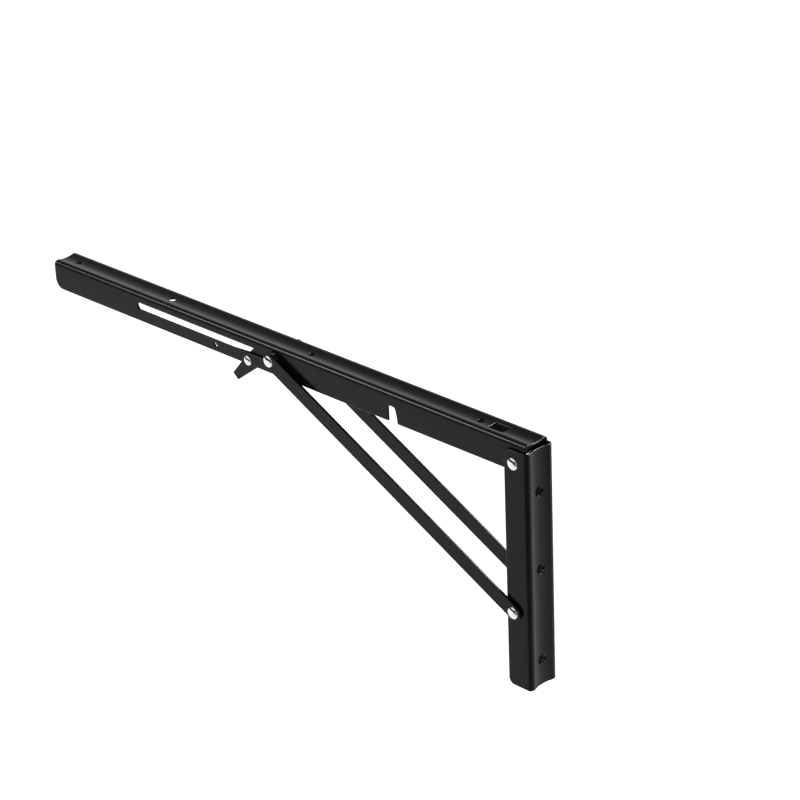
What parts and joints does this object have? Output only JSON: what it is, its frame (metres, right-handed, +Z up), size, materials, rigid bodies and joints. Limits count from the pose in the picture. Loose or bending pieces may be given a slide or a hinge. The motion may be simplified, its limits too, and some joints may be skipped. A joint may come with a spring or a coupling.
{
  "type": "folding shelf bracket",
  "caption": "Folding shelf bracket: dished wall leg, nested shelf arm on a corner pivot, paired brace straps that slide in the arm's slots, and a sprung release lever.",
  "frame": {"origin": "on the wall plane, midway between the top and bottom wall screw holes", "axes": "+X into the wall, so the arm reaches out along -X; +Z up; +Y across the bracket, with the latch lever on the -Y side"},
  "size_m": [0.5, 0.036, 0.1943],
  "materials": {
    "black_powder_coat": "satin",
    "polished_rivet_steel": "polished",
    "zinc_plated_steel": "satin",
    "black_nylon": "matte",
    "spring_steel": "satin"
  },
  "bodies": {
    "leg": {"wall_leg": "black_powder_coat", "corner_rivet": "polished_rivet_steel", "corner_sleeve": "zinc_plated_steel", "foot_rivet": "polished_rivet_steel", "front_foot_washer": "black_nylon", "rear_foot_washer": "black_nylon", "front_corner_washer": "black_nylon", "rear_corner_washer": "black_nylon"},
    "arm": {"shelf_arm": "black_powder_coat", "latch_rivet": "polished_rivet_steel", "latch_sleeve": "zinc_plated_steel", "latch_spring": "spring_steel"},
    "latch": {"latch_lever": "black_powder_coat"},
    "slider": {"front_slide_stud": "polished_rivet_steel", "rear_slide_stud": "polished_rivet_steel", "front_slide_collar": "zinc_plated_steel", "rear_slide_collar": "zinc_plated_steel"},
    "brace": {"front_strap": "black_powder_coat", "rear_strap": "black_powder_coat", "front_strap_rivet": "polished_rivet_steel", "rear_strap_rivet": "polished_rivet_steel"}
  },
  "joints": [
    {"name": "arm_fold", "type": "hinge", "parent": "leg", "child": "arm", "pos_m": [-0.0129, 0, 0.0905], "axis": [0, -1, 0], "range_deg": [0, 90]},
    {"name": "brace_swing", "type": "hinge", "parent": "leg", "child": "brace", "pos_m": [-0.0134, 0, -0.0268], "axis": [0, -1, 0], "range_deg": [0, 116.26]},
    {"name": "stud_slide", "type": "slide", "parent": "arm", "child": "slider", "axis": [-1, 0, 0], "range_m": [0, 0.14659]},
    {"name": "latch_release", "type": "hinge", "parent": "arm", "child": "latch", "pos_m": [-0.2797, 0, 0.0866], "axis": [0, 1, 0], "range_deg": [0, 42], "stiffness_Nm_per_rad": 0.04, "springref_deg": -17.19}
  ],
  "couplings": [
    {"joint": "brace_swing", "follows": "arm_fold", "ratio": 1.2906},
    {"joint": "stud_slide", "follows": "arm_fold", "m_per_rad": 0.093258}
  ]
}
